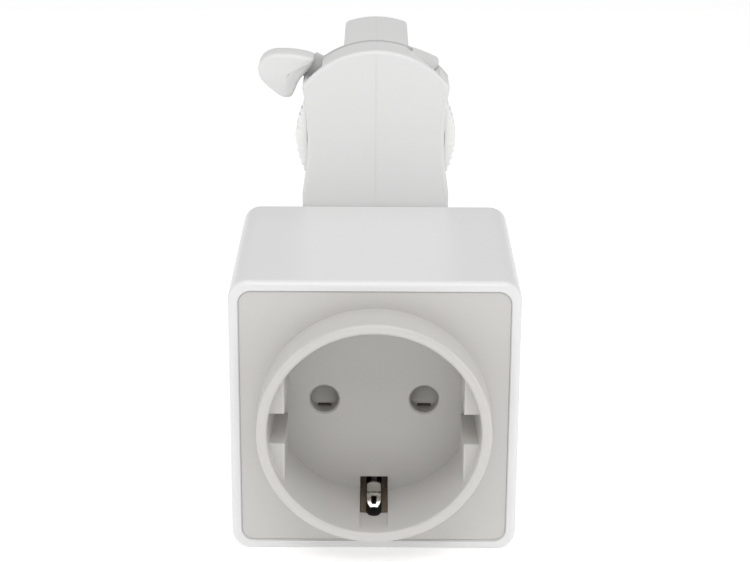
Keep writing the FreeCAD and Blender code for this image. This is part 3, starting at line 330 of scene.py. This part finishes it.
def inset_loop(loop, depth):
    """Each point of a closed loop moved inwards along its own normal."""
    count = len(loop)
    area = sum(loop[i - 1].cross(loop[i]) for i in range(count))
    turn = 1 if area > 0 else -1
    moved = []
    for i, point in enumerate(loop):
        along = loop[(i + 1) % count] - loop[i - 1]
        normal = Vector((-along.y, along.x)).normalized() * turn
        moved.append(point + normal * depth)
    return moved


# ---------------------------------------------------------------- lock lever

WING_FRONT = low("lock_lever").y
WING_REAR = high("lock_lever").y
DISC_THICK = 1.1
DISC_RADIUS = 11.7
SHAFT_RADIUS = 3.9
WING_EDGE = 1.05
WING_BACK = 0.8
WING_CROWN = 0.45
# The wing's outline from the front, as (x, z) about the lock's axis.
WING_OUTLINE = [
    (-12.7, 15.9), (-15.0, 16.6), (-18.0, 16.95), (-21.0, 16.8), (-23.0, 15.7), (-23.85, 13.8),
    (-23.4, 11.8), (-22.0, 10.2), (-20.4, 8.85), (-18.9, 7.95), (-17.55, 7.9), (-16.8, 8.6),
    (-16.3, 9.7), (-15.8, 10.9), (-15.0, 12.1), (-13.7, 13.7), (-12.9, 14.8),
]


def quarter_turns(steps, first=0):
    return [math.radians(90) * step / steps for step in range(first, steps + 1)]


def make_wing():
    """The thumb leaf: rounded at the back and at the face, which is crowned; drawn about the lock's axis."""
    outline = smooth_loop(WING_OUTLINE, 8)
    rings = [
        (WING_BACK * (1 - math.sin(turn)), WING_REAR - WING_BACK * (1 - math.cos(turn)))
        for turn in quarter_turns(8)
    ]
    rings += [
        (WING_EDGE * (1 - math.cos(turn)), WING_FRONT + WING_CROWN + WING_EDGE * (1 - math.sin(turn)))
        for turn in quarter_turns(8, first=1)
    ]
    points = []
    for inset, y in rings:
        points += [(p.x, y, AXIS + p.y) for p in inset_loop(outline, inset)]
    face = inset_loop(outline, WING_EDGE)
    middle = sum(face, Vector((0, 0))) / len(face)
    crown_rings = 6
    for step in range(1, crown_rings + 1):
        rest = 1 - step / (crown_rings + 1)
        y = WING_FRONT + WING_CROWN * rest ** 2
        points += [(p.x, y, AXIS + p.y) for p in [middle + (q - middle) * rest for q in face]]
    return loose("wing", points, ring_faces(len(rings) + crown_rings, len(outline)))


def make_lever_disc():
    """The flat ring in the adapter's slot, with softened rims."""
    count = 96
    soft = 0.15
    rear = WING_REAR
    front = rear - DISC_THICK
    profile = [
        (SHAFT_RADIUS, front), (DISC_RADIUS - soft, front), (DISC_RADIUS, front + soft),
        (DISC_RADIUS, rear - soft), (DISC_RADIUS - soft, rear), (SHAFT_RADIUS, rear),
    ]
    points = ring_points(profile, count)
    return loose("disc", points, ring_faces(len(profile), count, closed_ends=False))


def make_neck():
    """The web between the disc and the wing, a hair thinner than the disc so that they join cleanly."""
    corners = [polar(124.6, 10.5), polar(124.3, 17.6), polar(124.8, 18.6), polar(127.2, 20.1)]
    corners += [polar(138.0, 20.2), polar(143.0, 19.0), polar(143.0, 10.5)]
    hair = 0.001
    rear = WING_REAR - hair
    front = WING_REAR - DISC_THICK + hair
    points = [(p.x, y, AXIS + p.y) for y in (front, rear) for p in corners]
    return loose("neck", points, ring_faces(2, len(corners)))


def make_lever():
    lever = joined(make_wing(), "UNION", make_lever_disc(), make_neck())
    lever.name = "lever"
    finish_piece(lever, "lock", "adapter_plastic", stands_for=("lock_lever",))


# ---------------------------------------------------------------- thumbwheel

WHEEL_LOW = low("selector_wheel").y
WHEEL_HIGH = high("selector_wheel").y
WHEEL_RADIUS = 16.27
FLUTES = 72
FLUTE_DEPTH = 0.38
FIGURES = {"0": 180.0, "1": 135.0, "2": 90.0, "3": 45.0}
FIGURE_HALF_ANGLE = 5.5
FIGURE_HEIGHT = 2.6


def flute_depth(angle):
    """How deep the grip flutes are at an angle: none under the figures."""
    spread = min(abs((angle - at + 180) % 360 - 180) for at in FIGURES.values())
    quiet = min(max((spread - FIGURE_HALF_ANGLE) / 1.5, 0), 1)
    wave = 0.5 - 0.5 * math.cos(math.radians(angle * FLUTES))
    return FLUTE_DEPTH * wave * quiet


def make_thumbwheel():
    """The selector: a fluted rim with soft edges, a recessed web and a hub. Rings are (radius, y, flutes)."""
    count = FLUTES * 8
    soft = 0.45
    recess = 0.6
    front, rear = WHEEL_LOW, WHEEL_HIGH
    hub, web, spindle = 5.0, 14.0, 2.0
    rings = [(spindle, front, 0), (hub, front, 0)]
    rings += [(hub + 0.3, front + recess, 0), (web - 0.3, front + recess, 0)]
    rings += [(web, front, 0), (WHEEL_RADIUS - soft, front, 0.2)]
    rings += [(WHEEL_RADIUS - soft * 0.3, front + soft * 0.3, 0.7), (WHEEL_RADIUS, front + soft, 1)]
    rings += [(radius, front + rear - y, share) for radius, y, share in reversed(rings)]
    points = []
    for radius, y, share in rings:
        for i in range(count):
            angle = 360 * i / count
            spot = polar(angle, radius - flute_depth(angle) * share)
            points.append((spot.x, y, AXIS + spot.y))
    wheel = loose("thumbwheel", points, ring_faces(len(rings), count, closed_ends=False))
    finish_piece(wheel, "selector", "adapter_plastic", "wheel_plastic", ("selector_wheel",))
    for figure, angle in FIGURES.items():
        make_figure(figure, angle)


def make_figure(figure, angle):
    """One raised figure on the wheel's rim, read from outside."""
    data = bpy.data.curves.new(f"figure_{figure}", "FONT")
    data.body = figure
    data.size = FIGURE_HEIGHT * MM
    data.extrude = 0.06 * MM
    data.bevel_depth = 0.02 * MM
    data.align_x = "CENTER"
    data.align_y = "CENTER"
    data.resolution_u = 4
    text = new_object(f"figure_text_{figure}", data)
    graph = bpy.context.evaluated_depsgraph_get()
    graph.update()
    mesh = bpy.data.meshes.new_from_object(text.evaluated_get(graph))
    bpy.data.objects.remove(text)
    outward = polar(angle, 1).to_3d().xzy
    across = Vector((0, 1, 0))
    upward = outward.cross(across)
    turn = Matrix((across, upward, outward)).transposed().to_4x4()
    middle = outward * WHEEL_RADIUS + Vector((0, (WHEEL_LOW + WHEEL_HIGH) / 2, AXIS))
    mesh.transform(Matrix.Translation(middle * MM) @ turn)
    finish_piece(new_object(f"figure_{figure}", mesh), "selector", "grey_plastic", "figure_ink")


# ---------------------------------------------------------------- earth bracket

METAL = 0.5
NOSE_END = FLOOR - 8.92
WINDOW = (FLOOR - 8.5, FLOOR - 6.7)
# Half of the bracket as (y, distance from the socket's middle): the strap, then the clip.
HALF_PATH = [
    (-8.65, 2.0), (-8.65, 7.0), (-8.65, 12.0), (-8.8, 13.2), (-9.4, 13.95), (-10.6, 14.15),
    (-17.0, 14.15), (-22.6, 14.15), (-23.8, 14.4), (-24.5, 15.1), (-25.3, 16.6), (-26.4, 17.8),
    (-27.5, 17.9), (-28.3, 17.3), (-29.0, 16.95), (-31.0, 17.1), (-33.3, 17.05), (-35.0, 16.8),
    (-36.0, 17.15), (-36.8, 17.7), (-37.4, 18.3),
]


def blend(value, start, end):
    """0 before the start, 1 past the end, and an even quarter wave between them."""
    share = min(max((value - start) / (end - start), 0), 1)
    return math.sin(share * math.pi / 2)


def bracket_half_width(y):
    """Wide along the strap, a narrow neck through the floor, full across the clip, rounded at its nose."""
    neck, clip, strap = 0.55, 1.3, 2.5
    width = neck + (clip - neck) * blend(y, FLOOR + 0.1, FLOOR - 1.5)
    width += (strap - neck) * blend(y, -24.6, -23.2)
    return width * (0.45 + 0.55 * blend(y, NOSE_END, NOSE_END + 1.1))


def bent_sheet(run, across):
    """The bracket's middle sheet along its run of (y, z) points, bellied, with a window in each nose."""
    grid = bmesh.new()
    rows = []
    for y, z in run:
        side = 1 if z > MID else -1
        row = []
        for k in range(across + 1):
            share = 2 * k / across - 1
            belly = 0.16 * share * share * blend(y, FLOOR + 2, FLOOR)
            row.append(grid.verts.new(Vector((bracket_half_width(y) * share, y, z + side * belly)) * MM))
        rows.append(row)
    for i in range(len(rows) - 1):
        y = (run[i].x + run[i + 1].x) / 2
        for k in range(across):
            open_here = WINDOW[0] < y < WINDOW[1] and abs(k + 0.5 - across / 2) < 2.6
            if not open_here:
                grid.faces.new((rows[i][k], rows[i][k + 1], rows[i + 1][k + 1], rows[i + 1][k]))
    stray = [v for v in grid.verts if not v.link_faces]
    bmesh.ops.delete(grid, geom=stray, context="VERTS")
    mesh = bpy.data.meshes.new("bracket")
    grid.to_mesh(mesh)
    grid.free()
    return new_object("bracket", mesh)


def block(name, x, y, z):
    """A plain closed box, for cutting and joining."""
    points = [(a, b, c) for a in x for b, c in ((y[0], z[0]), (y[1], z[0]), (y[1], z[1]), (y[0], z[1]))]
    return loose(name, points, ring_faces(2, 4))


def drum(name, radius, along, span, middle):
    """A closed round bar along Y or Z, for cutting. The middle is its place on the other of the two."""
    count = 24
    points = []
    for at in span:
        for i in range(count):
            spot = polar(360 / count * i, radius)
            points.append((spot.x, at, middle + spot.y) if along == "Y" else (spot.x, middle + spot.y, at))
    return loose(name, points, ring_faces(2, count))


def make_bracket():
    """The strap behind the contact base, its earth terminal and the two sprung clips."""
    upper = smooth_run([(y, MID + z) for y, z in HALF_PATH], 8)
    lower = [Vector((p.x, 2 * MID - p.y)) for p in reversed(upper)]
    bracket = bent_sheet(lower + upper, 16)
    shell = bracket.modifiers.new("thickness", "SOLIDIFY")
    shell.thickness = METAL * MM
    shell.offset = 0
    shell.use_even_offset = True
    soften(bracket, 0.08)
    terminal = block("terminal", (-3, 3), (-8.9, -3.9), (MID - 9, MID - 3))
    soften(terminal, 0.25)
    joined(terminal, "DIFFERENCE", drum("bore", 1.05, "Y", (-7.5, -3.0), MID - 7))
    joined(terminal, "DIFFERENCE", drum("thread", 1.3, "Z", (MID - 6, MID - 2), -5.8))
    joined(bracket, "UNION", terminal)
    bracket.name = "earth_bracket_metal"
    finish_piece(bracket, "housing", "nickel", stands_for=("earth_bracket",))


def make_spring():
    """The coil under the shutter."""
    turns, steps, around = 7, 20, 8
    coil, wire = 1.1, 0.25
    foot, head = low("shutter_spring"), high("shutter_spring")
    bottom = foot.z + wire
    rise = head.z - wire - bottom
    y = (foot.y + head.y) / 2
    count = turns * steps
    points = []
    for i in range(count + 1):
        spot = polar(360 * i / steps, 1)
        centre = Vector((spot.x * coil, y + spot.y * coil, bottom + rise * i / count))
        for k in range(around):
            turn = polar(360 * k / around, wire)
            points.append(centre + Vector((spot.x * turn.x, spot.y * turn.x, turn.y)))
    spring = loose("spring_coil", points, ring_faces(count + 1, around))
    finish_piece(spring, "housing", "steel", stands_for=("shutter_spring",))
    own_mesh(spring)


def make_liners():
    """Insulating rails, and a near-black sheet of painted shadow inside each earth slot, under the clip."""
    rail, sheet, inner, notch = 1.2, 0.2, 2.64, 1.22
    near, far, top = 19.5, 20.15, 16.05
    front, rear = FLOOR - 7.97, FLOOR + 2.55
    post = rear - 0.4
    profile = [(front, far), (rear, far), (rear, top), (post, top), (post, near), (front, near)]
    side_x = inner - 0.01
    outline = [(side_x, rear), (-side_x, rear), (-side_x, front), (-notch, front)]
    for i in range(1, 16):
        spot = polar(180 + 180 * i / 16, notch)
        outline.append((spot.x, front + spot.y))
    outline += [(notch, front), (side_x, front)]
    for side, name in ((-1, "lower"), (1, "upper")):
        for hand, label in ((-1, "left"), (1, "right")):
            x = sorted((hand * (inner - rail), hand * inner))
            points = [(at, y, MID + side * level) for at in x for y, level in profile]
            piece = loose(f"slot_rail_{name}_{label}", points, ring_faces(2, len(profile)))
            soften(piece, 0.05)
            finish_piece(piece, "housing", "grey_plastic", "brown_liner")
        # The near-black sheet is painted shadow: it darkens the slot floor behind and under the clip, where
        # shade falls.
        points = [(x, y, MID + side * level) for level in (far - sheet, far) for x, y in outline]
        piece = loose(f"slot_shadow_sheet_{name}", points, ring_faces(2, len(outline)))
        finish_piece(piece, "housing", "grey_plastic", "painted_shade_liner")


# ---------------------------------------------------------------- gap around the plate


def make_gap_bed():
    """The ledge that closes the narrow gap around the plate a little way below its face."""
    steps = 12
    inner = (PLATE_HALF - 0.03, 2.4)
    outer = (PLATE_HALF + 0.15, 2.58)
    front, rear = FRONT + 0.3, FRONT + 1.2
    rings = [(inner, front), (inner, rear), (outer, rear), (outer, front)]
    points = []
    for (reach, bend), y in rings:
        for corner, (sx, sz) in enumerate(((1, 1), (-1, 1), (-1, -1), (1, -1))):
            for i in range(steps + 1):
                spot = polar(90 * corner + 90 * i / steps, bend)
                points.append((sx * (reach - bend) + spot.x, y, MID + sz * (reach - bend) + spot.y))
    around = 4 * (steps + 1)
    bed = loose("gap_bed", points, ring_faces(len(rings), around, closed_ends=False))
    finish_piece(bed, "housing", "white_plastic")


# ---------------------------------------------------------------- stage


def make_camera():
    """The eye stands 0.37 m in front of the origin and looks down at the box by 19 degrees."""
    data = bpy.data.cameras.new("camera")
    data.sensor_width = 36.0
    data.lens = 93.2
    data.clip_start = 0.01
    camera = new_object("camera", data)
    pitch = Matrix.Rotation(math.radians(71.02), 4, "X")
    roll = Matrix.Rotation(math.radians(0.30), 4, "Z")
    camera.matrix_world = Matrix.Translation((0, -0.3699, 0.1680)) @ pitch @ roll
    bpy.context.scene.camera = camera


def make_floor():
    """A wide pale sheet under the object, which glows a little so that it stays white."""
    data = bpy.data.meshes.new("floor")
    side = 3.0
    corners = [(-side, -side, 0), (side, -side, 0), (side, side, 0), (-side, side, 0)]
    data.from_pydata(corners, [], [(0, 1, 2, 3)])
    floor = new_object("floor", data)
    material, shader, _ = new_material("floor_look")
    shader.inputs["Base Color"].default_value = (0.93, 0.93, 0.93, 1)
    shader.inputs["Roughness"].default_value = 0.9
    shader.inputs["Specular IOR Level"].default_value = 0.1
    shader.inputs["Emission Color"].default_value = (1, 1, 1, 1)
    shader.inputs["Emission Strength"].default_value = 0.3
    data.materials.append(material)


def area_light(name, place, target, size, power):
    """A soft box turned to a target. Places and sizes are in metres, the power in watts."""
    data = bpy.data.lights.new(name, "AREA")
    data.shape = "RECTANGLE"
    data.size, data.size_y = size
    data.energy = power
    lamp = new_object(name, data)
    lamp.location = place
    aim = Vector(target) - Vector(place)
    lamp.rotation_euler = aim.to_track_quat("-Z", "Y").to_euler()


def make_light():
    """A bright even room and four soft boxes: overhead, in front and above, and one at each side."""
    scene = bpy.context.scene
    world = bpy.data.worlds.new("room")
    world.use_nodes = True
    background = world.node_tree.nodes["Background"]
    background.inputs["Color"].default_value = (1.0, 1.0, 1.0, 1)
    background.inputs["Strength"].default_value = 0.44
    scene.world = world
    area_light("overhead", (0.0, 0.05, 0.9), (0, 0, 0.04), (1.2, 1.0), 2.0)
    area_light("front_top", (0.0, -0.62, 0.95), (0, -0.02, 0.04), (0.9, 0.6), 4.5)
    area_light("left_side", (-0.85, -0.38, 0.28), (0, 0, 0.04), (0.6, 0.8), 2.2)
    area_light("right_side", (0.85, -0.38, 0.28), (0, 0, 0.04), (0.6, 0.8), 2.4)
    scene.view_settings.view_transform = "Standard"
    scene.view_settings.look = "None"


make_camera()
make_floor()
make_light()
dress_frame()
make_lever()
make_thumbwheel()
make_bracket()
make_spring()
make_liners()
make_gap_bed()
